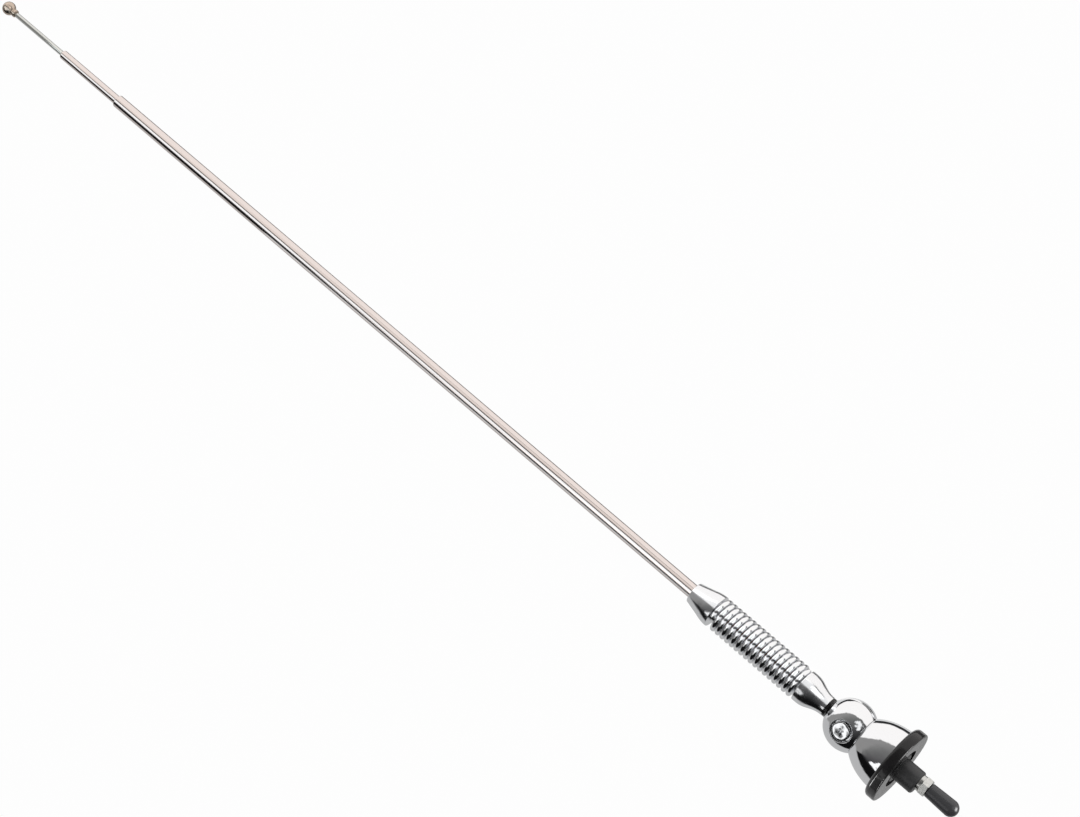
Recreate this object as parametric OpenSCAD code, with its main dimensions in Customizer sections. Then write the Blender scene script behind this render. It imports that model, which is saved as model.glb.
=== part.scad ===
// Telescopic car mast aerial on a flexible spring and a clamped ball swivel.
// The mast stands along +Z. The origin is the centre of the face that rests on the car's panel.
// The clamp screw of the swivel faces -Y, and the mast leans about it, towards +X or -X.

/* [Mast] */
// Outside diameter of the main tube
main_d = 7; // [6.6:0.1:7.8]
// Outside diameter of the middle tube
middle_d = 5; // [4.7:0.1:5.3]
// Diameter of the top rod
rod_d = 2.8; // [2.4:0.1:3.2]
// Wall thickness of the main and the middle tube
tube_wall = 0.4; // [0.3:0.05:0.5]
// Length of the main tube
main_len = 417.8; // [300:0.1:500]
// Length of middle tube that stands out, as the mast is drawn
middle_show = 44.1; // [10:0.1:80]
// Length of top rod that stands out below the tip, as the mast is drawn
rod_show = 38.6; // [10:0.1:80]
// Length of each section that still stands out when the mast is closed
closed_show = 2; // [1:0.5:4]
// Length of the rolled-in mouth of each tube
mouth_len = 2.4; // [1.5:0.1:4]
// Length of each friction clip
clip_len = 9; // [5:0.5:14]

/* [Tip] */
// Diameter of the ball on the tip
tip_d = 7.4; // [6:0.1:9]
// Diameter of the collar under the tip ball
collar_d = 4.2; // [4:0.1:5]
// Height of the collar
collar_h = 1.5; // [1:0.1:2.5]
// Height of the waist between the collar and the ball's widest section
tip_waist_h = 4.2; // [3.9:0.1:5]

/* [Spring] */
// Outside diameter of the coil
coil_d = 16.8; // [15.5:0.1:18]
// Diameter of the spring wire
wire_d = 2.6; // [2.2:0.1:2.7]
// Number of turns
coil_turns = 17.25; // [14:0.25:18]
// Length of the spring between its two ferrules
coil_len = 52.8; // [52:0.1:60]
// Diameter of the braid inside the coil
braid_d = 4; // [3:0.1:4.6]

/* [Ferrules] */
// Height of the upper ferrule above the spring
upper_h = 14.3; // [12.5:0.1:18]
// Diameter of the upper ferrule at its small end
upper_top_d = 10.5; // [10:0.1:12]
// Diameter of the upper ferrule at the spring
upper_d = 16.8; // [15.5:0.1:18]
// Radius of the upper ferrule's shoulder
upper_shoulder_r = 18; // [10:1:24]
// Height of the lower ferrule below the spring
lower_h = 15.3; // [14:0.1:18]
// Diameter of the lower ferrule at the spring
lower_d = 16.3; // [15:0.1:17.5]
// Diameter of the lower ferrule's neck
neck_d = 10; // [9.4:0.1:11]
// Radius of the lower ferrule's shoulder
lower_shoulder_r = 9; // [6:0.5:11]
// Radius of the hollow curve above the neck
neck_curve_r = 12; // [8:0.5:14]
// Length of the spigot of each ferrule inside the spring
spigot_len = 6; // [4:0.5:9]

/* [Swivel] */
// Diameter of the swivel ball
ball_d = 25; // [24:0.1:27]
// Height of the ball's centre above the panel
ball_z = 29.8; // [28:0.1:33]
// Width of the bevel round the flat face of each half of the ball
seam_bevel = 0.7; // [0.3:0.1:1.2]
// Diameter of the threaded pin that joins the swivelling half to its ferrule
pin_d = 6; // [5:0.1:6.6]
// Thickness of the seal round the pin, at its rim
seal_h = 1.3; // [0.8:0.1:2]

/* [Clamp screw] */
// Diameter of the clamp screw
screw_d = 5; // [4:0.1:5.6]
// Diameter of the clamp screw's head
head_d = 8.3; // [8:0.1:9]
// Height of the clamp screw's head
head_h = 2.6; // [2.2:0.1:3]
// Depth of the cross recess in the head
recess_depth = 1.6; // [1:0.1:1.9]
// Width of the cross recess in the head
recess_w = 1.1; // [0.8:0.1:1.5]
// Diameter of the counterbore round the head
counterbore_d = 10.4; // [10.2:0.1:11]
// Distance of the head's face from the ball's centre
head_out = 11.6; // [11:0.1:12.2]
// Thickness of the spring washer under the head
clamp_washer_t = 0.8; // [0.6:0.1:1.2]
// Diameter of the friction disc between the two halves
disc_d = 15; // [12:0.5:18]
// Thickness of the friction disc
disc_t = 1; // [0.6:0.1:1.5]

/* [Base] */
// Diameter of the base at the gasket
base_d = 31.8; // [30:0.1:34]
// Diameter of the rim that holds the ball
rim_d = 20.6; // [20.2:0.1:21.6]
// Depth of the rim below the ball's centre
rim_drop = 7.7; // [7:0.1:8.4]
// Radius of the base's bulging side
side_r = 31.8; // [20:0.1:60]
// Diameter of the gasket
gasket_d = 38.2; // [36:0.1:42]
// Thickness of the gasket
gasket_t = 5.9; // [4.5:0.1:7]
// Radius of the gasket's upper edge
gasket_edge_r = 2.2; // [1:0.1:2.8]
// Radius of the gasket's lower edge
gasket_foot_r = 0.8; // [0.4:0.1:1.2]
// Diameter of the hole in the gasket
gasket_hole_d = 20.8; // [18:0.1:24]
// Depth of the stem's flange inside the gasket's underside
flange_inset = 1.2; // [0.6:0.1:2]

/* [Stem] */
// Diameter of the insulating stem
stem_d = 11.7; // [11:0.1:13]
// Length of the stem below the panel face
stem_len = 10.2; // [8:0.1:14]
// Radius of the stem's lower edge
stem_edge_r = 1.1; // [0.5:0.1:1.6]
// Diameter of the terminal stud
stud_d = 5; // [4:0.1:5.4]
// Sideways offset of the terminal stud
stud_offset = 1.1; // [0:0.1:1.4]
// Depth of the stud in the base
stud_grip = 8; // [5:0.5:12]
// Length of stud that stands out of the nut
stud_end = 13.4; // [10:0.1:15]
// Diameter of the split washer on the stud
washer_d = 8; // [7.6:0.1:9]
// Thickness of the split washer
washer_t = 1.5; // [1:0.1:2]
// Width of the nut across its flats
nut_af = 8.2; // [7.8:0.1:9]
// Thickness of the nut
nut_t = 3.6; // [3:0.1:5]

/* [Cap] */
// Length of the rubber cap
cap_len = 16.4; // [16.2:0.1:20]
// Diameter of the cap at its mouth
cap_mouth_d = 7.1; // [6.8:0.1:8.2]
// Diameter of the cap at its round end
cap_d = 8.1; // [7.6:0.1:9]
// Radius of the cap's mouth edge
cap_edge_r = 0.5; // [0.3:0.1:0.7]

/* [Clearances] */
// Clearance on the radius of sliding and turning pieces
run_gap = 0.05; // [0.03:0.01:0.08]
// Clearance on the radius of fixed pieces
fit_gap = 0.03; // [0.02:0.01:0.05]
// Gap at the ends and faces of pieces that move
face_gap = 0.1; // [0.05:0.01:0.15]
// Gap between the ball and what moves past it
ball_gap = 0.3; // [0.2:0.05:0.4]

/* [Hidden] */
$fn = 96;

chrome = [0.82, 0.83, 0.85];
nickel = [0.80, 0.76, 0.72];
steel = [0.72, 0.72, 0.72];
brass = [0.78, 0.62, 0.30];
rubber = [0.10, 0.10, 0.11];
fibre = [0.35, 0.22, 0.15];
copper = [0.72, 0.45, 0.30];

// Small set sizes: solid core of a ferrule, plug, sunk depths and broken edges
core_t = 5.2;
plug_head_len = 7.8;
plug_thread_len = 4;
plug_thread_r = 2;
braid_sunk = 3.5;
pin_sunk = 9;
tip_bore = 4;
edge_break = 0.1;
chamfer = 0.5;
thread_end = 0.6;
screw_grip = 8.5;
seam_gap = face_gap;
neck_lip = 0.3;
land_h = 0.6;
shoulder_land_h = 2.2;
arc_steps = 16;
ring_steps = 24;
wire_sides = 8;
slack = 1;

// Radii of the pieces
main_r = main_d / 2;
middle_r = middle_d / 2;
rod_r = rod_d / 2;
coil_r = coil_d / 2;
wire_r = wire_d / 2;
helix_r = coil_r - wire_r;
ball_r = ball_d / 2;
neck_r = neck_d / 2;
pin_r = pin_d / 2;
screw_r = screw_d / 2;
stem_r = stem_d / 2;
stud_r = stud_d / 2;
braid_r = braid_d / 2;
spigot_r = coil_r - wire_d - ball_gap;

// Heights along the mast, from the panel up
seal_top_z = ball_z + sqrt(pow(ball_r + ball_gap, 2) - pow(neck_r - edge_break, 2)) + seal_h;
coil_z = seal_top_z + lower_h;
upper_z = coil_z + coil_len;
mast_top_z = upper_z + upper_h;
socket_z = upper_z + core_t;
plug_top_z = socket_z + plug_head_len;
main_top_z = socket_z + main_len;
middle_low_z = plug_top_z + face_gap + middle_show - closed_show;
rod_low_z = middle_low_z + rod_show - closed_show;
middle_top_z = main_top_z + middle_show;
rod_top_z = middle_top_z + rod_show;
tip_z = rod_top_z + collar_h + tip_waist_h;

// Heights below the panel
washer_z = -stem_len - washer_t;
nut_z = washer_z - nut_t;
stud_bottom_z = nut_z - stud_end;
cap_mouth_z = nut_z - face_gap;

// Points on an arc about [cx, cy], from angle a to angle b
function arc(cx, cy, r, a, b, n = arc_steps) =
    [for (i = [0:n]) let (t = a + (b - a) * i / n) [cx + r * cos(t), cy + r * sin(t)]];

// Points on the arc of radius r from p to q, bulging to the right of that direction
function arc_between(p, q, r, n = arc_steps) =
    let (c = norm(q - p),
         d = (q - p) / c,
         m = (p + q) / 2 + [-d[1], d[0]] * sqrt(r * r - c * c / 4))
    arc(m[0], m[1], r, atan2(p[1] - m[1], p[0] - m[0]), atan2(q[1] - m[1], q[0] - m[0]), n);

// Angle at which a line from point p touches the circle of radius r about c
function touch_angle(c, r, p) =
    atan2(p[1] - c[1], p[0] - c[0]) - acos(r / norm(p - c));

// Slope of the line that crosses from a bulging arc to a hollow one, where the two
// radii add up to s, the sides lie d apart and the arcs' centres are h apart in height
function cross_slope(s, d, h) =
    atan2(h, s - d) - acos(s / norm([s - d, h]));

// Turned solid from a half section of [radius, height] points
module turned(points) {
    rotate_extrude() polygon(points);
}

// Tube with a plain lower end and a mouth that is rolled in round the next section
module drawn_tube(r, mouth_r, low_z, top_z) {
    roll_r = min(mouth_len, r - mouth_r);
    turned(concat(
        [[r - tube_wall, low_z], [r, low_z]],
        arc(r - roll_r, top_z - roll_r, roll_r, 0, 90, 8),
        [[mouth_r, top_z], [mouth_r, top_z - mouth_len], [r - tube_wall, top_z - mouth_len - tube_wall]]));
}

// Springy split bush on the foot of a section, which grips the bore of the tube round it
module friction_clip(bore_r, outer_r, low_z) {
    slit = 0.8;
    translate([0, 0, low_z]) difference() {
        cylinder(r = outer_r, h = clip_len);
        translate([0, 0, -slack]) cylinder(r = bore_r, h = clip_len + 2 * slack);
        translate([0, -slit / 2, -slack]) cube([outer_r + slack, slit, clip_len + 2 * slack]);
    }
}

// Split spring washer that lies on the XY plane
module split_washer(r, hole_r, t) {
    slit = 0.6;
    difference() {
        cylinder(r = r, h = t);
        translate([0, 0, -slack]) cylinder(r = hole_r, h = t + 2 * slack);
        rotate([0, 0, 205]) translate([0, -slit / 2, -slack]) rotate([18, 0, 0])
            cube([r + slack, slit, t + 3 * slack]);
    }
}

// Ball on the tip, with a waist and a collar over the rod's end
module tip_ball() {
    waist_r = rod_r + 0.4;
    color(nickel) difference() {
        union() {
            translate([0, 0, tip_z]) sphere(d = tip_d);
            translate([0, 0, rod_top_z]) cylinder(r = waist_r, h = collar_h + tip_waist_h);
            translate([0, 0, rod_top_z]) cylinder(d = collar_d, h = collar_h);
        }
        translate([0, 0, rod_top_z - slack]) cylinder(r = rod_r + fit_gap, h = tip_bore + slack);
    }
}

module top_rod() {
    color(steel) translate([0, 0, rod_low_z])
        cylinder(r = rod_r, h = rod_top_z + tip_bore - face_gap - rod_low_z);
}

module rod_clip() {
    color(brass) friction_clip(rod_r + fit_gap, middle_r - tube_wall - run_gap, rod_low_z);
}

module middle_tube() {
    color(steel) drawn_tube(middle_r, rod_r + run_gap, middle_low_z, middle_top_z);
}

module middle_clip() {
    color(brass) friction_clip(middle_r + fit_gap, main_r - tube_wall - run_gap, middle_low_z);
}

module main_tube() {
    color(steel) drawn_tube(main_r, middle_r + run_gap, socket_z + face_gap, main_top_z);
}

// Plug in the foot of the main tube, threaded into the ferrule; the closed mast rests on it
module mast_plug() {
    head_r = main_r - tube_wall - fit_gap;
    color(brass) turned([
        [0, socket_z - plug_thread_len], [plug_thread_r - chamfer, socket_z - plug_thread_len],
        [plug_thread_r, socket_z - plug_thread_len + chamfer], [plug_thread_r, socket_z + face_gap],
        [head_r, socket_z + face_gap], [head_r, plug_top_z], [0, plug_top_z]]);
}

// Cone-shaped ferrule: socket for the main tube above, spigot inside the spring below
module upper_ferrule() {
    r = upper_d / 2;
    top_r = upper_top_d / 2;
    c = [r - upper_shoulder_r, upper_z + land_h];
    slope = touch_angle(c, upper_shoulder_r, [top_r, mast_top_z]);
    color(chrome) difference() {
        turned(concat(
            [[0, upper_z - spigot_len], [spigot_r - chamfer, upper_z - spigot_len],
             [spigot_r, upper_z - spigot_len + chamfer], [spigot_r, upper_z],
             [r - edge_break, upper_z], [r, upper_z + edge_break]],
            arc(c[0], c[1], upper_shoulder_r, 0, slope),
            [[top_r + edge_break, mast_top_z - 3 * edge_break], [top_r - 2 * edge_break, mast_top_z],
             [0, mast_top_z]]));
        translate([0, 0, socket_z]) cylinder(r = main_r + fit_gap, h = upper_h);
        translate([0, 0, socket_z - plug_thread_len - face_gap])
            cylinder(r = plug_thread_r + fit_gap, h = plug_thread_len + slack);
        translate([0, 0, upper_z - spigot_len - slack])
            cylinder(r = braid_r + run_gap, h = braid_sunk + slack);
    }
}

// Points of one ring of the wire, at turn angle a of a left-hand helix
function wire_ring(a, z, lead) =
    [for (j = [0:wire_sides - 1])
        let (s = 360 * j / wire_sides,
             out = helix_r + wire_r * cos(s),
             up = wire_r * sin(s))
        [out * cos(a) + up * sin(lead) * sin(a),
         -out * sin(a) + up * sin(lead) * cos(a),
         z + up * cos(lead)]];

// Close-wound spring with plain ends that butt on the ferrules
module coil_spring() {
    pitch = (coil_len - wire_d - 2 * face_gap) / coil_turns;
    lead = atan(pitch / (2 * PI * helix_r));
    n = ceil(coil_turns * ring_steps);
    points = [for (i = [0:n])
        let (turn = coil_turns * i / n)
        each wire_ring(360 * turn, coil_z + face_gap + wire_r + pitch * turn, lead)];
    sides = [for (i = [0:n - 1]) for (j = [0:wire_sides - 1])
        let (k = (j + 1) % wire_sides)
        [wire_sides * i + k, wire_sides * i + j,
         wire_sides * (i + 1) + j, wire_sides * (i + 1) + k]];
    first = [for (j = [0:wire_sides - 1]) j];
    last = [for (j = [wire_sides - 1:-1:0]) wire_sides * n + j];
    color(chrome) polyhedron(points, concat(sides, [first, last]), convexity = 10);
}

// Braid that carries the signal past the spring, sunk in both ferrules' spigots
module spring_braid() {
    low_z = coil_z + spigot_len - braid_sunk + face_gap;
    top_z = upper_z - spigot_len + braid_sunk - face_gap;
    color(copper) translate([0, 0, low_z]) cylinder(r = braid_r, h = top_z - low_z);
}

// Bottle-shaped ferrule: spigot in the spring above, threaded on the swivel's pin below
module lower_ferrule() {
    r = lower_d / 2;
    high_z = coil_z - shoulder_land_h;
    low_z = seal_top_z + neck_lip;
    slope = cross_slope(lower_shoulder_r + neck_curve_r, r - neck_r, high_z - low_z);
    color(chrome) difference() {
        turned(concat(
            [[0, seal_top_z], [neck_r - edge_break, seal_top_z], [neck_r, seal_top_z + edge_break]],
            arc(neck_r + neck_curve_r, low_z, neck_curve_r, 180, 180 - slope),
            arc(r - lower_shoulder_r, high_z, lower_shoulder_r, -slope, 0),
            [[r, coil_z - edge_break], [r - edge_break, coil_z], [spigot_r, coil_z],
             [spigot_r, coil_z + spigot_len - chamfer], [spigot_r - chamfer, coil_z + spigot_len],
             [0, coil_z + spigot_len]]));
        translate([0, 0, coil_z + spigot_len - braid_sunk])
            cylinder(r = braid_r + run_gap, h = braid_sunk + slack);
        translate([0, 0, seal_top_z - slack])
            cylinder(r = pin_r + fit_gap, h = pin_sunk + face_gap + slack);
    }
}

// Ball of radius r at the swivel's centre, cut to the half on one side of its flat face
module half_ball(r, side, bevel) {
    translate([0, 0, ball_z]) intersection() {
        sphere(r = r);
        rotate([side > 0 ? -90 : 90, 0, 0])
            cylinder(r1 = r - bevel, r2 = 2 * r - bevel, h = r);
    }
}

// Seal that follows the ball below and carries the ferrule's neck above
module neck_seal() {
    color(rubber) difference() {
        translate([0, 0, ball_z + ball_r / 2])
            cylinder(r = neck_r - edge_break, h = seal_top_z - ball_z - ball_r / 2);
        translate([0, 0, ball_z]) sphere(r = ball_r + ball_gap);
        translate([0, 0, ball_z]) cylinder(r = pin_r + fit_gap, h = ball_d);
    }
}

// Half of the ball that turns with the mast, with the pin that its ferrule is screwed on
module swivel_half() {
    washer_y = head_out - head_h - clamp_washer_t - face_gap;
    color(chrome) difference() {
        union() {
            translate([0, -seam_gap, 0]) half_ball(ball_r, -1, seam_bevel);
            difference() {
                translate([0, 0, ball_z + ball_r / 2])
                    cylinder(r = pin_r, h = seal_top_z + pin_sunk - ball_z - ball_r / 2);
                translate([0, 0, ball_z]) intersection() {
                    sphere(r = ball_r + ball_gap);
                    translate([-ball_r, -seam_gap, 0]) cube(ball_d);
                }
            }
        }
        translate([0, slack, ball_z]) rotate([90, 0, 0]) cylinder(r = screw_r + run_gap, h = ball_r);
        translate([0, -washer_y, ball_z]) rotate([90, 0, 0]) cylinder(d = counterbore_d, h = ball_r);
        translate([0, slack, ball_z]) rotate([90, 0, 0])
            cylinder(d = disc_d + 2 * face_gap, h = disc_t + face_gap + slack);
    }
}

// Fibre disc that holds the swivel by friction
module friction_disc() {
    color(fibre) translate([0, 0, ball_z]) rotate([90, 0, 0]) difference() {
        cylinder(d = disc_d, h = disc_t);
        translate([0, 0, -slack]) cylinder(r = screw_r + run_gap, h = disc_t + 2 * slack);
    }
}

// Cross-headed screw that draws the two halves of the ball together
module clamp_screw() {
    dome_h = 0.7;
    color(chrome) translate([0, 0, ball_z]) rotate([90, 0, 0]) difference() {
        turned(concat(
            [[0, -screw_grip], [screw_r - thread_end, -screw_grip], [screw_r, thread_end - screw_grip],
             [screw_r, head_out - head_h], [head_d / 2, head_out - head_h]],
            arc_between([head_d / 2, head_out - dome_h], [0, head_out], head_d, 8)));
        for (turn = [0, 90])
            rotate([0, 0, turn + 45])
                translate([-head_d / 4, -recess_w / 2, head_out - recess_depth])
                    cube([head_d / 2, recess_w, recess_depth + slack]);
    }
}

module clamp_washer() {
    color(steel) translate([0, head_h - head_out, ball_z]) rotate([-90, 0, 0])
        split_washer(head_d / 2, screw_r + run_gap, clamp_washer_t);
}

// Cast base: bulging foot with a spherical seat, and the fixed half of the ball
module base_casting() {
    color(chrome) difference() {
        union() {
            turned(concat(
                [[0, gasket_t]],
                arc_between([base_d / 2, gasket_t], [rim_d / 2, ball_z - rim_drop], side_r),
                [[0, ball_z - rim_drop]]));
            half_ball(ball_r, 1, seam_bevel);
        }
        translate([0, 0, ball_z]) intersection() {
            sphere(r = ball_r + ball_gap);
            translate([-ball_d, -2 * ball_d, -ball_d]) cube(2 * ball_d);
        }
        translate([0, -slack, ball_z]) rotate([-90, 0, 0])
            cylinder(r = screw_r + fit_gap, h = screw_grip + face_gap + slack);
        translate([stud_offset, 0, gasket_t - slack])
            cylinder(r = stud_r + fit_gap, h = stud_grip + face_gap + slack);
    }
}

// Rubber ring between the base and the panel, its underside at height zero
module panel_gasket() {
    r = gasket_d / 2;
    hole_r = gasket_hole_d / 2;
    color(rubber) turned(concat(
        [[hole_r, 0]],
        arc(r - gasket_foot_r, gasket_foot_r, gasket_foot_r, -90, 0, 8),
        arc(r - gasket_edge_r, gasket_t - gasket_edge_r, gasket_edge_r, 0, 90),
        [[hole_r, gasket_t]]));
}

// Insulating sleeve through the panel, with a flange inside the gasket
module stem_bush() {
    flange_r = gasket_hole_d / 2 - face_gap;
    color(rubber) difference() {
        turned(concat(
            [[0, -stem_len]],
            arc(stem_r - stem_edge_r, stem_edge_r - stem_len, stem_edge_r, -90, 0, 8),
            [[stem_r, flange_inset], [flange_r, flange_inset], [flange_r, gasket_t], [0, gasket_t]]));
        translate([stud_offset, 0, -stem_len - slack])
            cylinder(r = stud_r + fit_gap, h = stem_len + gasket_t + 2 * slack);
    }
}

// Stud screwed into the base; it clamps the base and carries the lead's terminal
module terminal_stud() {
    top_z = gasket_t + stud_grip;
    color(steel) translate([stud_offset, 0, 0]) turned([
        [0, stud_bottom_z], [stud_r - thread_end, stud_bottom_z], [stud_r, stud_bottom_z + thread_end],
        [stud_r, top_z - thread_end], [stud_r - thread_end, top_z], [0, top_z]]);
}

module terminal_washer() {
    color(steel) translate([stud_offset, 0, washer_z])
        split_washer(washer_d / 2, stud_r + fit_gap, washer_t);
}

// Hexagon nut with both faces chamfered
module terminal_nut() {
    corner_r = nut_af / sqrt(3);
    face_r = nut_af / 2 - edge_break;
    bevel_h = (corner_r - face_r) * tan(30);
    color(steel) translate([stud_offset, 0, nut_z]) difference() {
        intersection() {
            cylinder(r = corner_r, h = nut_t, $fn = 6);
            turned([[0, 0], [face_r, 0], [corner_r, bevel_h], [corner_r, nut_t - bevel_h],
                    [face_r, nut_t], [0, nut_t]]);
        }
        translate([0, 0, -slack]) cylinder(r = stud_r + fit_gap, h = nut_t + 2 * slack);
    }
}

// Soft cap pushed over the stud's free end
module stud_cap() {
    r = cap_d / 2;
    mouth_r = cap_mouth_d / 2;
    low_z = cap_mouth_z - cap_len;
    color(rubber) translate([stud_offset, 0, 0]) difference() {
        turned(concat(
            arc(0, low_z + r, r, -90, 0),
            arc(mouth_r - cap_edge_r, cap_mouth_z - cap_edge_r, cap_edge_r, 0, 90, 6),
            [[0, cap_mouth_z]]));
        translate([0, 0, stud_bottom_z - face_gap])
            cylinder(r = stud_r + run_gap, h = stud_end + 2 * slack);
    }
}

tip_ball();
top_rod();
rod_clip();
middle_tube();
middle_clip();
main_tube();
mast_plug();
upper_ferrule();
coil_spring();
spring_braid();
lower_ferrule();
neck_seal();
swivel_half();
friction_disc();
clamp_screw();
clamp_washer();
base_casting();
panel_gasket();
stem_bush();
terminal_stud();
terminal_washer();
terminal_nut();
stud_cap();
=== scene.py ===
import math
import bmesh
import bpy
from mathutils import Matrix, Vector
from mathutils.geometry import interpolate_bezier


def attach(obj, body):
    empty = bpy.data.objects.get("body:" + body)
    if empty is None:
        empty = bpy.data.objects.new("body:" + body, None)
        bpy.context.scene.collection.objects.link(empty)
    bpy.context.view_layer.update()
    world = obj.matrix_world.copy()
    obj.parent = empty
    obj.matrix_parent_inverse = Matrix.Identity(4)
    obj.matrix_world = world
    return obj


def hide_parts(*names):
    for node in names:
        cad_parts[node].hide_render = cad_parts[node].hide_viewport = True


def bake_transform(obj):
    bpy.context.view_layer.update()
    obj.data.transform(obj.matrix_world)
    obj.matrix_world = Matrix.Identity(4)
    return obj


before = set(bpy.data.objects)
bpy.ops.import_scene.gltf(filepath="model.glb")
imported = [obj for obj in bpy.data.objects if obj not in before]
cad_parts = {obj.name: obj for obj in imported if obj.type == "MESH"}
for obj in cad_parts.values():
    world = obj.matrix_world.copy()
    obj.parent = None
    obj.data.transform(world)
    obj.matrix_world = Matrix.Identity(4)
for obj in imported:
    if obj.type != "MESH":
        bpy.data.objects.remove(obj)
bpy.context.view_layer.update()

# Camera: the mast runs from the top left to the bottom right of the picture and leans about 20 degrees
# out of it, with its base nearer, so that the underside of the gasket is just seen.
camera_place = Vector((0.45341, -0.97092, -0.1410))
to_right = Vector((0.48354, 0.49742, -0.71992)).normalized()
to_lens = Vector((0.3829, -0.8601, -0.3371)).normalized()
to_right = (to_right - to_right.dot(to_lens) * to_lens).normalized()
to_top = to_lens.cross(to_right)
camera = bpy.data.objects.new("camera", bpy.data.cameras.new("camera"))
camera.data.sensor_width = 36
camera.data.lens = 78.33
camera.data.clip_end = 20
camera_turn = Matrix((to_right, to_top, to_lens)).transposed().to_4x4()
camera.matrix_world = Matrix.Translation(camera_place) @ camera_turn
bpy.context.scene.collection.objects.link(camera)
bpy.context.scene.camera = camera
bpy.context.scene.view_settings.view_transform = "Standard"


# Studio: white cloth all round and a dark one low in front, so that the polished metal has something to
# mirror. A soft key light and a few light panels stand round the mast, and the pale floor lies well
# below it, so that the mast clears it when it is swung down and drawn out.
def colour(code):
    """sRGB hex value as a linear colour."""
    parts = [int(code[i:i + 2], 16) / 255 for i in (1, 3, 5)]
    return [c / 12.92 if c <= 0.04045 else ((c + 0.055) / 1.055) ** 2.4 for c in parts] + [1]


def adjust(tree, node, settings=None, links=None):
    """The shader node, with its settings and the sockets that feed it."""
    for key, value in (settings or {}).items():
        if isinstance(key, int) or key in node.inputs:
            node.inputs[key].default_value = value
        else:
            setattr(node, key, value)
    for key, socket in (links or {}).items():
        tree.links.new(socket, node.inputs[key])
    return node


def add(tree, kind, settings=None, links=None):
    """One more shader node, with its settings and the sockets that feed it."""
    return adjust(tree, tree.nodes.new(kind), settings, links)


def set_ramp(ramp, stops):
    """Colours along a ramp, as pairs of place and sRGB hex value."""
    marks = ramp.color_ramp.elements
    while len(marks) > 1:
        marks.remove(marks[-1])
    marks[0].position, marks[0].color = stops[0][0], colour(stops[0][1])
    for place, code in stops[1:]:
        marks.new(place).color = colour(code)


def add_ramp(tree, value, stops):
    """Colour that follows the value along a ramp."""
    ramp = add(tree, "ShaderNodeValToRGB", {}, {"Fac": value})
    set_ramp(ramp, stops)
    return ramp.outputs["Color"]


def new_material(name):
    """A material, its shader tree, and the place on the piece that its patterns read."""
    made = bpy.data.materials.new(name)
    made.use_nodes = True
    return made, made.node_tree, add(made.node_tree, "ShaderNodeTexCoord").outputs["Object"]


def set_surface(tree, settings=None, links=None):
    """Settings of a material's main shader, and the sockets that feed it."""
    adjust(tree, tree.nodes["Principled BSDF"], settings, links)


world = bpy.data.worlds.new("studio")
bpy.context.scene.world = world
world.use_nodes = True
tree = world.node_tree
tree.nodes.clear()
straight = add(tree, "ShaderNodeTexCoord").outputs["Generated"]
folds = add(tree, "ShaderNodeTexNoise", {"Scale": 4, "Detail": 3}, {"Vector": straight})
fold_depth = 0.2
back = add(tree, "ShaderNodeVectorMath", {"operation": "SUBTRACT", 1: (fold_depth / 2,) * 3},
           {0: straight})
way = add(tree, "ShaderNodeVectorMath", {"operation": "MULTIPLY_ADD", 1: (fold_depth,) * 3},
          {0: folds.outputs["Color"], 2: back.outputs[0]}).outputs[0]


def part_of(direction):
    """How far the way that is mirrored goes in this direction."""
    dot = add(tree, "ShaderNodeVectorMath", {"operation": "DOT_PRODUCT", 1: direction}, {0: way})
    return dot.outputs["Value"]


def turned(rise, run):
    """Angle from its rise and its run, as a share of a full turn."""
    angle = add(tree, "ShaderNodeMath", {"operation": "ARCTAN2"}, {0: rise, 1: run}).outputs[0]
    whole_turn = {"From Min": -math.pi, "From Max": math.pi}
    return add(tree, "ShaderNodeMapRange", whole_turn, {"Value": angle}).outputs[0]


def near(value, middle, half, fade):
    """1 where the value is close to the middle and 0 away from it."""
    off = add(tree, "ShaderNodeMath", {"operation": "SUBTRACT", 1: middle}, {0: value}).outputs[0]
    size = add(tree, "ShaderNodeMath", {"operation": "ABSOLUTE"}, {0: off}).outputs[0]
    edge = {"interpolation_type": "SMOOTHSTEP", "From Min": half + fade, "From Max": half}
    return add(tree, "ShaderNodeMapRange", edge, {"Value": size}).outputs[0]


to_front = Vector((to_lens.x, to_lens.y, 0)).normalized()
to_side = Vector((0, 0, 1)).cross(to_front)
white_cloth = add_ramp(tree, turned(part_of(to_side), part_of(to_front)), [
    (0.0, "#D0D0D0"), (0.5, "#FFFDFB"), (0.845, "#FDFAF8"), (0.853, "#2A2A2C"), (0.905, "#2A2A2C"),
    (0.918, "#DADADA"), (1.0, "#D0D0D0")])
dark_cloth = add_ramp(tree, turned(part_of(to_top), part_of(to_lens)), [
    (0.0, "#0C0C0D"), (0.34, "#101011"), (0.43, "#3A3A3B"), (0.52, "#585758"), (0.60, "#70706F"),
    (0.66, "#8C8B8A"), (1.0, "#8C8B8A")])
# The white cloth ends in two hems, and the dark one hangs beyond them.
hem_ways = [to_right * x + to_top * y + to_lens * z
            for x, y, z in ((0.555, 0.694, -0.462), (0.42, 0.545, -0.839))]
hems = [add(tree, "ShaderNodeMapRange", {"From Min": -0.03, "From Max": 0.03}, {"Value": part_of(hem_way)})
        for hem_way in hem_ways]
white = add(tree, "ShaderNodeMath", {"operation": "MULTIPLY"}, {0: hems[0].outputs[0], 1: hems[1].outputs[0]})
cloth = add(tree, "ShaderNodeMix", {"data_type": "RGBA"},
            {0: white.outputs[0], 6: dark_cloth, 7: white_cloth})
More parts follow.
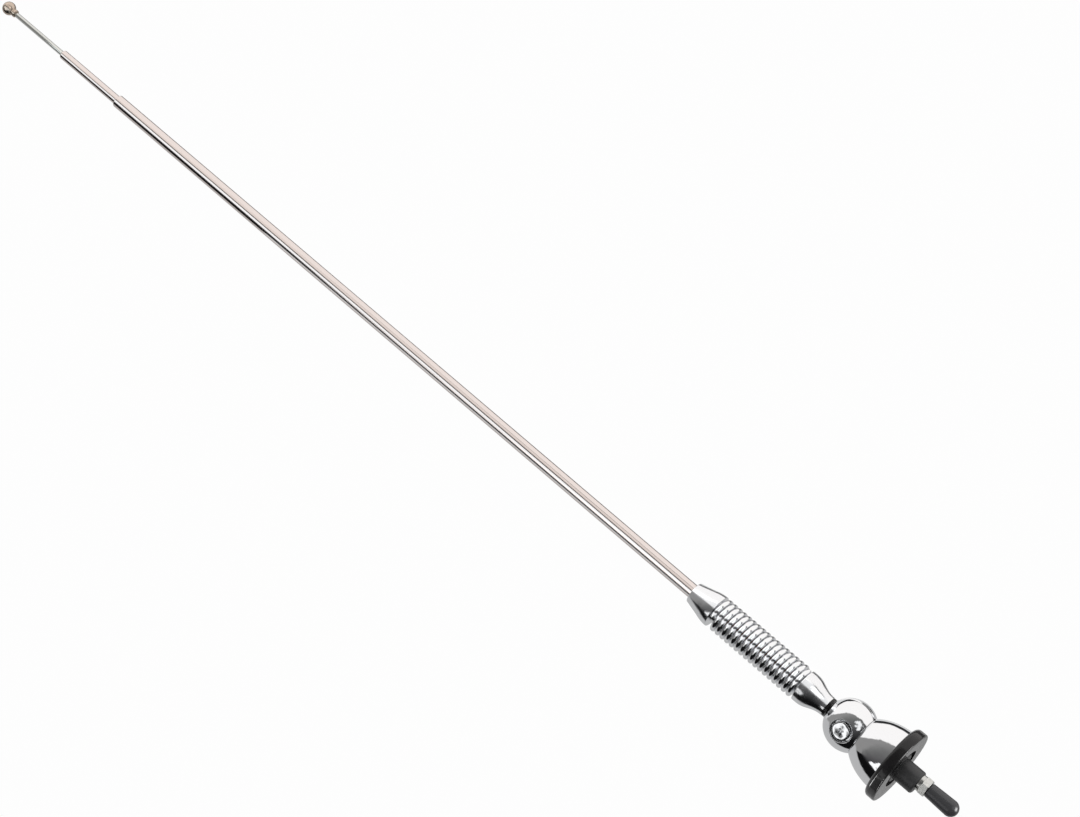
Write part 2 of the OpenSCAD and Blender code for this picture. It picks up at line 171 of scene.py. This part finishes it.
# A grey wall behind the mast, where the chrome's outer edges mirror it.
behind = add(tree, "ShaderNodeMapRange", {"From Min": -0.24, "From Max": -0.32}, {"Value": part_of(to_lens)})
below = add(tree, "ShaderNodeMapRange", {"From Min": 0.2, "From Max": 0.1}, {"Value": part_of(to_top)})
wall = add(tree, "ShaderNodeMath", {"operation": "MULTIPLY"}, {0: behind.outputs[0], 1: below.outputs[0]})
cloth = add(tree, "ShaderNodeMix", {"data_type": "RGBA", 7: colour("#B6B6B6")},
            {0: wall.outputs[0], 6: cloth.outputs[2]})
# A dark stand and two round lamps, as small marks in the chrome of the ball and the bell.
stand = near(part_of((to_lens * 0.957 + to_right * 0.19 + to_top * 0.22).normalized()), 1, 0.015, 0.02)
left_lamp = near(part_of(Vector((-0.4214, -0.893, 0.159))), 1, 0.014, 0.014)
right_lamp = near(part_of((to_right * 0.46 + to_top * 0.12 + to_lens * 0.85).normalized()), 1, 0.03, 0.03)
studio = cloth.outputs[2]
for shape, level in ((stand, 0.12), (left_lamp, 1.05), (right_lamp, 0.95)):
    studio = add(tree, "ShaderNodeMix", {"data_type": "RGBA", 7: (level, level, level, 1)},
                 {0: shape, 6: studio}).outputs[2]
# Matt pieces are lit evenly, and the camera sees a plain white background.
rays = add(tree, "ShaderNodeLightPath")
soft = add(tree, "ShaderNodeMix", {"data_type": "RGBA", 7: (0.76, 0.76, 0.76, 1)},
           {0: rays.outputs["Is Diffuse Ray"], 6: studio})
seen = add(tree, "ShaderNodeMix", {"data_type": "RGBA", 7: (0.88, 0.88, 0.88, 1)},
           {0: rays.outputs["Is Camera Ray"], 6: soft.outputs[2]})
air = add(tree, "ShaderNodeBackground", {"Strength": 1.12}, {"Color": seen.outputs[2]})
add(tree, "ShaderNodeOutputWorld", {}, {"Surface": air.outputs[0]})

floor_z, floor_half = -0.62, 12
floor_mesh = bmesh.new()
bmesh.ops.create_grid(floor_mesh, x_segments=1, y_segments=1, size=floor_half,
                      matrix=Matrix.Translation((0, 0, floor_z)))
floor = bpy.data.objects.new("floor", bpy.data.meshes.new("floor"))
floor_mesh.to_mesh(floor.data)
floor_mesh.free()
bpy.context.scene.collection.objects.link(floor)
floor.visible_glossy = False
paper = new_material("matt_white_paper")[0]
set_surface(paper.node_tree, {"Base Color": colour("#F2F2F2"), "Roughness": 0.9})
floor.data.materials.append(paper)

key = bpy.data.objects.new("soft_key", bpy.data.lights.new("soft_key", "SUN"))
key.data.angle = math.radians(19)
key.data.energy = 1.25
key.rotation_euler = (to_lens * 0.9 + to_top * 1.2 + to_right * 0.3).to_track_quat("Z", "Y").to_euler()
key.visible_glossy = False
bpy.context.scene.collection.objects.link(key)

panels = []


def add_panel(name, way_out, middle, width, height, strength, tint="#FFFFFF"):
    """A soft light panel that stands off from a place on the object and faces it."""
    light = bpy.data.objects.new(name, bpy.data.lights.new(name, "AREA"))
    light.data.shape = "RECTANGLE"
    light.data.size, light.data.size_y = width, height
    light.data.energy = strength * width * height
    light.data.color = colour(tint)[:3]
    light.location = middle + way_out
    light.rotation_euler = way_out.to_track_quat("Z", "Y").to_euler()
    bpy.context.scene.collection.objects.link(light)
    panels.append(light)


# Upright panels: the bearing is in degrees from the camera's side of the mast, the rest in metres.
panel_distance = 0.15
for name, bearing, width, low, high, strength, tint in (
        ("tube_left", -28, 0.09, 0.155, 0.8, 4.0, "#F0FAFF"),
        ("tube_right", 22, 0.088, -0.3, 0.8, 2.3, "#FFF9F5"),
        ("tube_edge", -95, 0.08, -0.3, 0.5, 1.6, "#F0FAFF"),
        ("spring_left", -26, 0.069, -0.3, 0.68, 3.0, "#FFFFFF"),
        ("coil_right", 27, 0.115, -0.3, 0.68, 2.4, "#FFFFFF")):
    out = to_front * math.cos(math.radians(bearing)) + to_side * math.sin(math.radians(bearing))
    add_panel(name, out * panel_distance, Vector((0, 0, (low + high) / 2)), width, high - low, strength, tint)
# Small bright panels for the glints on the rubber cap and along the gasket's rim.
cap_middle, rim_middle = Vector((0, 0, -0.02)), Vector((0, 0, 0.003))
add_panel("cap_glint", (to_right * 0.90 - to_top * 0.2 + to_lens * 0.35) * 0.5, cap_middle, 0.3, 0.3, 40)
add_panel("rim_glint", (-to_right * 0.85 - to_top * 0.43 + to_lens * 0.03) * 0.5, rim_middle, 0.4, 0.05, 80)
add_panel("rim_glow", (-to_right * 0.28 - to_top * 0.85 + to_lens * 0.35) * 0.5, rim_middle, 0.4, 0.05, 80)


# Base casting: a bell and the fixed half of the ball, die-cast in one zinc piece, polished and plated
# with bright chrome. The bell bulges slightly and ends in a lip round the ball. The plate mirrors the
# room sharply, with a faint haze in patches of 4 mm where it was buffed.
def finished(name, mesh, body, material, slot, *nodes, smooth_below=35, bevel=0.0):
    """The piece from its bmesh, shaded smooth but for its edges, riding on its body in place of CAD nodes."""
    bmesh.ops.remove_doubles(mesh, verts=mesh.verts, dist=1e-7)
    bmesh.ops.recalc_face_normals(mesh, faces=mesh.faces)
    data = bpy.data.meshes.new(name)
    mesh.to_mesh(data)
    mesh.free()
    data.shade_smooth()
    data.set_sharp_from_angle(angle=math.radians(smooth_below))
    data.materials.append(material)
    piece = bpy.data.objects.new(name, data)
    bpy.context.scene.collection.objects.link(piece)
    if bevel:
        edge = piece.modifiers.new("soft_edges", "BEVEL")
        edge.width = bevel / 1000
        edge.segments = 3
        edge.limit_method = "ANGLE"
        edge.angle_limit = math.radians(smooth_below)
    if body:
        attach(piece, body)
    if nodes:
        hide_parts(*nodes)
    return piece


def curve(start, start_pull, end_pull, end, count=14):
    """Points in millimetres on a smooth curve from start to end, without the last one."""
    ends = [Vector((*p, 0)) for p in (start, start_pull, end_pull, end)]
    return [(p.x, p.y) for p in interpolate_bezier(*ends, count)][:-1]


def round_arc(centre, radius, first, last, count=24):
    """Points on an arc about the centre, in millimetres and degrees."""
    steps = [math.radians(first + (last - first) * i / count) for i in range(count + 1)]
    return [(centre[0] + radius * math.cos(a), centre[1] + radius * math.sin(a)) for a in steps]


def spun(section, closed=False, angle=360, steps=160, axis="Z", middle=(0, 0, 0), mesh=None):
    """Section of radius and height in millimetres, spun about Z, or about the way of the clamp screw."""
    mesh = mesh or bmesh.new()
    dots = [mesh.verts.new((r / 1000, 0, h / 1000)) for r, h in section]
    lines = [mesh.edges.new(pair) for pair in zip(dots, dots[1:])]
    if closed:
        lines.append(mesh.edges.new((dots[-1], dots[0])))
    old = set(mesh.verts) - set(dots)
    bmesh.ops.spin(mesh, geom=dots + lines, axis=(0, 0, 1), cent=(0, 0, 0), dvec=(0, 0, 0),
                   angle=math.radians(angle), steps=steps, use_merge=angle == 360)
    new = [v for v in mesh.verts if v not in old]
    if axis == "-Y":
        bmesh.ops.rotate(mesh, verts=new, cent=(0, 0, 0), matrix=Matrix.Rotation(math.radians(90), 3, "X"))
    if axis == "+Y":
        bmesh.ops.rotate(mesh, verts=new, cent=(0, 0, 0), matrix=Matrix.Rotation(math.radians(-90), 3, "X"))
    bmesh.ops.translate(mesh, verts=new, vec=Vector(middle) / 1000)
    return mesh


def dress(material, *nodes):
    """The material on solids that are shown as the CAD made them."""
    for node in nodes:
        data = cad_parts[node].data
        data.materials.clear()
        data.materials.append(material)


chrome, tree, place = new_material("bright_chrome_plate")
haze = add(tree, "ShaderNodeTexNoise", {"Scale": 260, "Detail": 4, "Roughness": 0.6}, {"Vector": place})
gloss = add(tree, "ShaderNodeMapRange", {"From Min": 0.35, "From Max": 0.75, "To Min": 0.035, "To Max": 0.11},
            {"Value": haze.outputs["Fac"]})
ripple = add(tree, "ShaderNodeTexNoise", {"Scale": 700, "Detail": 2}, {"Vector": place})
relief = add(tree, "ShaderNodeBump", {"Strength": 0.05, "Distance": 0.0002},
             {"Height": ripple.outputs["Fac"]})
set_surface(tree, {"Base Color": colour("#EDEEF0"), "Metallic": 1},
            {"Roughness": gloss.outputs[0], "Normal": relief.outputs[0]})

ball_z, ball_r, lip_r, gasket_top = 29.8, 12.5, 12.8, 5.9
bell = [(11.0, gasket_top)]
bell += curve((15.9, gasket_top), (15.6, 12.2), (13.7, 17.6), (10.55, 21.85), 28)
bell += [(10.55, 21.85), (10.3, 22.1)]
bell += round_arc((0, ball_z), lip_r, -36.4, -60, 8)
bell += [(6.4, 17.0), (6.4, gasket_top)]
base = spun(bell, closed=True)
fixed_half = [(0, 0), (11.8, 0)] + round_arc((0, 0), ball_r, 3.2, 90, 32)
spun(fixed_half, axis="+Y", middle=(0, 0, ball_z), mesh=base)
fillet = [(10.62, 21.75)] + curve((10.62, 21.75), (10.0, 22.4), (10.1, 22.9), (10.75, 23.42), 8)
fillet += [(10.75, 23.42), (9.9, 22.3)]
spun(fillet, closed=True, angle=180, steps=80, mesh=base)
finished("base_chrome", base, "base", chrome, "chrome", "base_casting", bevel=0.12)


# Turning half of the ball: chromed zinc too, bored for the clamp screw with a counterbore that sinks
# the screw's head. A threaded pin on its top holds the mast's lower ferrule.
outer = round_arc((0, 0), ball_r, 3.9, 63.2, 32)
inner = [(5.25, 10.95), (5.2, 10.8), (5.2, 8.1), (2.6, 8.1), (2.6, 0.1), (11.7, 0.1)]
turning = spun(outer + inner, closed=True, axis="-Y", middle=(0, 0, ball_z))
spun([(0, 41.7), (2.9, 41.7), (2.9, 51.6), (0, 51.6)], steps=48, mesh=turning)
finished("turning_half_chrome", turning, "swivel", chrome, "chrome", "swivel_half", bevel=0.12)


# Clamp screw: chromed steel, with a low domed head and a cross recess. Tightening it sets how stiffly
# the mast leans. The recess is cut out of the head and tapers inwards.
head_r, head_foot, head_top, shank_r, shank_end = 4.5, 9.0, 11.6, 2.4, -8.5
head = [(0, head_foot), (head_r, head_foot), (head_r, 11.1)]
head += curve((head_r, 11.1), (head_r, 11.45), (4.1, 11.55), (0, head_top), 14) + [(0, head_top)]
screw = spun(head, steps=96, axis="-Y", middle=(0, 0, ball_z))
shank = [(0, shank_end), (shank_r, shank_end), (shank_r, head_foot), (0, head_foot)]
spun(shank, steps=48, axis="-Y", middle=(0, 0, ball_z), mesh=screw)
screw_piece = finished("clamp_screw_chrome", screw, "base", chrome, "chrome", "clamp_screw")
arm_length, arm_depth, arm_width = 0.0046, 0.0032, 0.0013
cross = bmesh.new()
for turn in (45, 135):
    arm = bmesh.ops.create_cube(cross, size=1)["verts"]
    bmesh.ops.scale(cross, verts=arm, vec=(arm_length, arm_depth, arm_width))
    bmesh.ops.scale(cross, verts=[v for v in arm if v.co.y > 0], vec=(0.4, 1, 0.6))
    bmesh.ops.rotate(cross, verts=arm, cent=(0, 0, 0), matrix=Matrix.Rotation(math.radians(turn), 3, "Y"))
    bmesh.ops.translate(cross, verts=arm, vec=(0, -head_top / 1000, ball_z / 1000))
cutter = bpy.data.objects.new("cross_cutter", bpy.data.meshes.new("cross_cutter"))
cross.to_mesh(cutter.data)
cross.free()
bpy.context.scene.collection.objects.link(cutter)
cut = screw_piece.modifiers.new("cross_recess", "BOOLEAN")
cut.operation = "DIFFERENCE"
cut.object = cutter
cut.solver = "EXACT"
cut.use_self = True
bpy.context.view_layer.update()
cut_mesh = bpy.data.meshes.new_from_object(screw_piece.evaluated_get(bpy.context.evaluated_depsgraph_get()))
screw_piece.modifiers.clear()
screw_piece.data = cut_mesh
bpy.data.objects.remove(cutter)


# Rubber pieces of the base: a thick moulded gasket with rounded edges, the stem that insulates the
# stud from the panel, and the seal that rides on the ball under the mast's ferrule. The stem is matt
# with a slight bloom, and the mould left the gasket and the seal smoother, with a thin shine.
rubber, tree, place = new_material("moulded_black_rubber")
bloom = add(tree, "ShaderNodeTexNoise", {"Scale": 180, "Detail": 5, "Roughness": 0.65}, {"Vector": place})
tint = add_ramp(tree, bloom.outputs["Fac"], [(0.3, "#2A2A2B"), (0.75, "#3C3C3D")])
gloss = add(tree, "ShaderNodeMapRange", {"From Min": 0.3, "From Max": 0.7, "To Min": 0.30, "To Max": 0.48},
            {"Value": bloom.outputs["Fac"]})
grain = add(tree, "ShaderNodeTexNoise", {"Scale": 2400, "Detail": 3}, {"Vector": place})
relief = add(tree, "ShaderNodeBump", {"Strength": 0.18, "Distance": 0.0001}, {"Height": grain.outputs["Fac"]})
set_surface(tree, {}, {"Base Color": tint, "Roughness": gloss.outputs[0], "Normal": relief.outputs[0]})

polished = rubber.copy()
polished.name = "polished_black_rubber"
set_surface(polished.node_tree, {"Coat Weight": 0.8, "Coat Roughness": 0.1, "Coat IOR": 1.4,
                                 "Specular IOR Level": 0.1})
set_ramp(polished.node_tree.nodes["Color Ramp"], [(0.3, "#0E0D0E"), (0.75, "#181718")])
gasket_bore, gasket_r = 10.4, 19.1
gasket = [(gasket_bore, 0.05), (18.0, 0.0)] + round_arc((18.3, 0.8), 0.8, -80, 0, 8)
gasket += [(gasket_r, 3.4)] + round_arc((16.9, 3.7), 2.2, 4, 88, 16)
gasket += [(16.2, gasket_top), (gasket_bore, gasket_top)]
finished("gasket_rubber", spun(gasket, closed=True), "base", polished, "rubber", "panel_gasket")

stem_r, stem_foot, flange_r, flange_foot, flange_top = 5.85, -10.2, 10.3, 1.2, 5.8
stem = [(0, stem_foot), (4.7, stem_foot)] + round_arc((4.75, -9.1), 1.1, -85, 0, 8)
stem += [(stem_r, 0.15)] + curve((stem_r, 0.15), (5.95, 0.3), (6.3, 0.2), (6.9, 0.2), 6)
stem += round_arc((7.3, 0.7), 0.5, -80, 0, 6)
stem += [(7.85, flange_foot), (flange_r, flange_foot), (flange_r, flange_top), (0, flange_top)]
finished("stem_rubber", spun(stem), "base", rubber, "rubber", "stem_bush")

seal = round_arc((0, ball_z), lip_r, 67.6, 77.0, 8) + [(3.05, 42.9), (4.7, 42.9), (4.88, 42.7)]
finished("seal_rubber", spun(seal, closed=True), "swivel", polished, "rubber", "neck_seal")


# Terminal: a steel stud with an M5 thread, its split washer and its hexagon nut, and the split washer
# under the clamp screw's head. Zinc plate makes them pale and faintly mottled, shiny but not mirror-like.
zinc, tree, place = new_material("bright_zinc_plate")
spangle = add(tree, "ShaderNodeTexNoise", {"Scale": 900, "Detail": 3, "Roughness": 0.6}, {"Vector": place})
tint = add_ramp(tree, spangle.outputs["Fac"], [(0.3, "#C2C3C0"), (0.7, "#DEDEDB")])
gloss = add(tree, "ShaderNodeMapRange", {"To Min": 0.16, "To Max": 0.42}, {"Value": spangle.outputs["Fac"]})
relief = add(tree, "ShaderNodeBump", {"Strength": 0.2, "Distance": 0.0001},
             {"Height": spangle.outputs["Fac"]})
set_surface(tree, {"Metallic": 1},
            {"Base Color": tint, "Roughness": gloss.outputs[0], "Normal": relief.outputs[0]})
dress(zinc, "terminal_washer", "terminal_nut", "clamp_washer")

# One turn of the thread is a V of the 0.8 mm pitch, and the spin winds it up past both ends of the stud,
# which are then cut flat and closed.
stud_x, thread_pitch, thread_turns, steps_a_turn = 1.1, 0.8, 56, 32
thread_v = ((0.00212, -0.0306), (0.0025, -0.0302), (0.00212, -0.0298))
stud_foot, stud_top = -0.02865, 0.0138
thread = bmesh.new()
dots = [thread.verts.new((r, 0, h)) for r, h in thread_v]
lines = [thread.edges.new(pair) for pair in zip(dots, dots[1:])]
bmesh.ops.spin(thread, geom=dots + lines, axis=(0, 0, 1), cent=(0, 0, 0),
               dvec=(0, 0, thread_pitch / 1000 / steps_a_turn), angle=math.radians(360 * thread_turns),
               steps=steps_a_turn * thread_turns, use_merge=False)
bmesh.ops.remove_doubles(thread, verts=thread.verts, dist=2e-6)
for height, side in ((stud_foot, -1), (stud_top, 1)):
    bmesh.ops.bisect_plane(thread, geom=thread.verts[:] + thread.edges[:] + thread.faces[:],
                           plane_co=(0, 0, height), plane_no=(0, 0, side), clear_outer=True)
bmesh.ops.holes_fill(thread, edges=[e for e in thread.edges if e.is_boundary], sides=0)
bmesh.ops.translate(thread, verts=thread.verts, vec=(stud_x / 1000, 0, 0))
finished("stud_zinc", thread, "base", zinc, "steel", "terminal_stud", smooth_below=25)


# Cap: soft black vinyl, dipped, so that it is glossier than the rubber and slightly wavy. It is pushed
# over the stud's end to keep the thread clean until the lead is fitted.
vinyl, tree, place = new_material("dipped_black_vinyl")
wave = add(tree, "ShaderNodeTexNoise", {"Scale": 420, "Detail": 3}, {"Vector": place})
gloss = add(tree, "ShaderNodeMapRange", {"To Min": 0.2, "To Max": 0.36}, {"Value": wave.outputs["Fac"]})
relief = add(tree, "ShaderNodeBump", {"Strength": 0.12, "Distance": 0.0003}, {"Height": wave.outputs["Fac"]})
set_surface(tree, {"Base Color": colour("#363638")},
            {"Roughness": gloss.outputs[0], "Normal": relief.outputs[0]})
cap_bore, cap_mouth, bore_end = 2.56, -15.5, -28.7
cap = round_arc((0, -27.75), 4.03, -90, 0, 16) + [(3.8, -21.5), (3.55, -16.0)]
cap += round_arc((3.1, -15.95), 0.45, 0, 90, 6) + [(cap_bore, cap_mouth), (cap_bore, bore_end), (0, bore_end)]
finished("cap_vinyl", spun(cap, steps=96, middle=(stud_x, 0, 0)), "cap", vinyl, "rubber", "stud_cap")


# Ferrules: turned brass, polished and chromed. The lower one is bottle-shaped, and the upper one is a
# cone with a round shoulder. Each has a spigot inside the spring's end. The turning marks leave their
# plate softer than the castings', so that it blurs what it mirrors.
satin = chrome.copy()
satin.name = "turned_chrome_plate"
adjust(satin.node_tree, satin.node_tree.nodes["Map Range"], {"To Min": 0.14, "To Max": 0.26})
spring_foot, spring_middle, spring_top, spigot_r, braid_hole = 58.2, 84.6, 111.0, 5.5, 2.1
lower = [(0, 43.0), (4.85, 43.0), (5.0, 43.15)]
lower += curve((5.0, 43.15), (5.0, 46.2), (5.9, 48.2), (6.65, 49.9), 14)
lower += curve((6.65, 49.9), (7.4, 51.6), (8.15, 53.4), (8.15, 56.0), 14)
lower += [(8.15, 56.0), (8.15, 58.0), (8.0, spring_foot), (spigot_r, spring_foot), (spigot_r, 63.9),
          (5.1, 64.2), (braid_hole, 64.2), (braid_hole, 60.7), (0, 60.7)]
finished("lower_ferrule_chrome", spun(lower), "swivel", satin, "chrome", "lower_ferrule", bevel=0.1)
upper = [(0, 108.4), (braid_hole, 108.4), (braid_hole, 105.0), (5.1, 105.0), (spigot_r, 105.4),
         (spigot_r, spring_top), (8.25, spring_top), (8.4, 111.2)]
upper += curve((8.4, 111.2), (8.4, 113.4), (8.0, 115.3), (7.3, 117.4), 14)
upper += [(7.3, 117.4), (5.35, 125.0), (5.1, 125.3), (3.53, 125.3), (3.53, 116.2), (0, 116.2)]
finished("upper_ferrule_chrome", spun(upper), "mast", satin, "chrome", "upper_ferrule", bevel=0.1)


# Spring: chromed steel wire, close-wound left-hand in about 17 turns, as smooth and bright as the
# castings. It is made in two lengths that meet in the middle, because it bends one way low down and the
# other way higher up.
wire = chrome.copy()
wire.name = "bright_chrome_wire"
adjust(wire.node_tree, wire.node_tree.nodes["Bump"], {"Strength": 0.01})
coil_pitch, coil_turns, coil_r, coil_start = 2.8986, 17.25, 7.1, 59.625
wire_r, wire_sides, steps_a_coil = 1.3, 20, 56


def coil(name, first, turns):
    """A length of the spring, wound from the given turn for the given number of turns."""
    mesh = bmesh.new()
    slope = math.atan(coil_pitch / (2 * math.pi * coil_r))
    wound = Matrix.Rotation(math.radians(-360 * first), 4, "Z")
    raised = Matrix.Translation((coil_r / 1000, 0, (coil_start + coil_pitch * first) / 1000))
    upright = Matrix.Rotation(math.pi / 2 + slope, 4, "X")
    bmesh.ops.create_circle(mesh, cap_ends=True, segments=wire_sides, radius=wire_r / 1000,
                            matrix=wound @ raised @ upright)
    steps = int(turns * steps_a_coil)
    swept = bmesh.ops.spin(mesh, geom=mesh.verts[:] + mesh.edges[:], axis=(0, 0, -1), cent=(0, 0, 0),
                           dvec=(0, 0, coil_pitch * turns / steps / 1000),
                           angle=math.radians(360 * turns), steps=steps, use_merge=False)
    rim = [e for e in swept["geom_last"] if isinstance(e, bmesh.types.BMEdge)]
    bmesh.ops.contextual_create(mesh, geom=rim)
    piece = finished(name, mesh, None, wire, "chrome", "coil_spring", smooth_below=50)
    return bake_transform(piece)


coil("spring_lower_coils", 0, coil_turns / 2)
coil("spring_upper_coils", coil_turns / 2, coil_turns / 2)


# Braid inside the spring: copper wire woven round a core, which carries the signal past the spring. It
# shows only as a dark line between the turns, so its strands are drawn as slanting bands 0.7 mm apart,
# coarser than the real weave.
copper, tree, place = new_material("woven_copper_braid")
strands = add(tree, "ShaderNodeTexWave", {"wave_type": "BANDS", "bands_direction": "DIAGONAL", "Scale": 900,
                                          "Distortion": 2}, {"Vector": place})
tint = add_ramp(tree, strands.outputs["Fac"], [(0.2, "#2E1C14"), (0.8, "#8A5B3E")])
relief = add(tree, "ShaderNodeBump", {"Strength": 0.5, "Distance": 0.0002},
             {"Height": strands.outputs["Fac"]})
set_surface(tree, {"Metallic": 1, "Roughness": 0.4}, {"Base Color": tint, "Normal": relief.outputs[0]})
braid_r, braid_cuts = 2.0, 16
for name, low, high, bodies, start, end in (
        ("braid_lower", 60.8, spring_middle, ("swivel", "spring"), spring_foot, spring_middle),
        ("braid_upper", spring_middle, 108.4, ("spring", "mast"), spring_middle, spring_top)):
    side = [(braid_r, low + (high - low) * i / braid_cuts) for i in range(braid_cuts + 1)]
    rope = spun([(0, low)] + side + [(0, high)], steps=32)
    piece = finished(name, rope, None, copper, "copper", "spring_braid")
    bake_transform(piece)


# Mast: two drawn stainless tubes and a solid rod that slide in one another. The mouth of each tube is
# rolled in to a bearing round the next section. Drawing leaves the tubes bright and slightly warm, with
# fine lines along them, and the ground rod is greyer.
steel, tree, place = new_material("drawn_stainless_steel")
along = add(tree, "ShaderNodeMapping", {"Scale": (5000, 5000, 12)}, {"Vector": place})
draw = add(tree, "ShaderNodeTexNoise", {"Scale": 1, "Detail": 3, "Roughness": 0.55},
           {"Vector": along.outputs[0]})
gloss = add(tree, "ShaderNodeMapRange", {"To Min": 0.04, "To Max": 0.13}, {"Value": draw.outputs["Fac"]})
relief = add(tree, "ShaderNodeBump", {"Strength": 0.04, "Distance": 0.0001}, {"Height": draw.outputs["Fac"]})
set_surface(tree, {"Base Color": colour("#E1D7D3"), "Metallic": 1},
            {"Roughness": gloss.outputs[0], "Normal": relief.outputs[0]})


def tube(name, radius, bore, low, high, mouth, body, node):
    """A drawn tube with its rolled-in mouth round a section of the mouth's radius."""
    mouth_length = 2.4
    roll = min(mouth_length, radius - mouth) * 0.95
    wall = [(bore, low), (radius, low), (radius, high - roll)]
    wall += curve((radius, high - roll), (radius, high - roll * 0.35), (radius - roll * 0.45, high),
                  (mouth, high), 12)
    wall += [(mouth, high), (mouth, high - mouth_length), (bore, high - mouth_length - 0.4)]
    return finished(name, spun(wall, closed=True, steps=96), body, steel, "steel", node, smooth_below=50)


tube("main_tube_steel", 3.5, 3.1, 116.3, 534.0, 2.55, "mast", "main_tube")
tube("middle_tube_steel", 2.5, 2.1, 166.2, 578.1, 1.45, "middle", "middle_tube")
ground = steel.copy()
ground.name = "ground_stainless_steel"
set_surface(ground.node_tree, {"Base Color": colour("#CFD0CC")})
rod_r, rod_foot, rod_top = 1.4, 202.9, 620.6
rod = [(0, rod_foot), (1.3, rod_foot), (rod_r, 203.0), (rod_r, 620.4), (1.3, rod_top), (0, rod_top)]
finished("top_rod_steel", spun(rod, steps=72), "tip", ground, "steel", "top_rod", smooth_below=50)


# Friction bushes at the foot of the rod and of the middle tube, and the plug in the main tube's foot:
# turned brass with fine marks round it. None of them shows from outside.
brass, tree, place = new_material("turned_brass")
across = add(tree, "ShaderNodeMapping", {"Scale": (200, 200, 6000)}, {"Vector": place})
marks = add(tree, "ShaderNodeTexNoise", {"Scale": 1, "Detail": 2}, {"Vector": across.outputs[0]})
gloss = add(tree, "ShaderNodeMapRange", {"To Min": 0.18, "To Max": 0.34}, {"Value": marks.outputs["Fac"]})
set_surface(tree, {"Base Color": colour("#D9B56A"), "Metallic": 1}, {"Roughness": gloss.outputs[0]})
dress(brass, "rod_clip", "middle_clip", "mast_plug")


# Friction disc between the halves of the ball: pressed brown fibre, matt and slightly mottled. The screw
# clamps it, and its grip holds the mast at any lean.
fibre, tree, place = new_material("pressed_fibre")
mottle = add(tree, "ShaderNodeTexNoise", {"Scale": 1200, "Detail": 4}, {"Vector": place})
tint = add_ramp(tree, mottle.outputs["Fac"], [(0.3, "#4A3020"), (0.7, "#7A5436")])
set_surface(tree, {"Roughness": 0.85}, {"Base Color": tint})
dress(fibre, "friction_disc")


# Tip: a turned brass ball with a waist and a collar, pressed on the rod's end, as the grip for pulling
# the mast out. Its nickel plate is warmer than chrome, and handling has made it a little dull.
nickel, tree, place = new_material("bright_nickel_plate")
haze = add(tree, "ShaderNodeTexNoise", {"Scale": 500, "Detail": 3}, {"Vector": place})
gloss = add(tree, "ShaderNodeMapRange", {"To Min": 0.12, "To Max": 0.36}, {"Value": haze.outputs["Fac"]})
set_surface(tree, {"Base Color": colour("#C5B5A6"), "Metallic": 1}, {"Roughness": gloss.outputs[0]})
knob = [(1.43, 616.7), (1.9, 616.7), (2.1, 616.9), (2.1, 618.0), (1.9, 618.2), (1.8, 618.3)]
knob += round_arc((0, 622.4), 3.7, -62, 90, 40) + [(0, 620.7), (1.43, 620.7)]
finished("tip_nickel", spun(knob, closed=True, steps=96), "tip", nickel, "nickel", "tip_ball",
         smooth_below=40, bevel=0.05)


# Light panels again, now that the pieces stand: each serves one group of them, for the streaks along the
# tubes and the spring and for the glints on the rubber.
coils = ("spring_lower_coils", "spring_upper_coils")
served = {"tube": ("main_tube_steel", "middle_tube_steel", "top_rod_steel", "tip_nickel"),
          "spring": coils, "coil": coils + ("upper_ferrule_chrome", "lower_ferrule_chrome"),
          "cap": ("cap_vinyl", "gasket_rubber"), "rim": ("gasket_rubber",)}
for light in panels:
    group = light.name.split("_")[0]
    lit = bpy.data.collections.new(light.name + "_lights")
    light.light_linking.receiver_collection = lit
    light.visible_diffuse = group not in ("cap", "rim")
    for name in served[group]:
        lit.objects.link(bpy.data.objects[name])
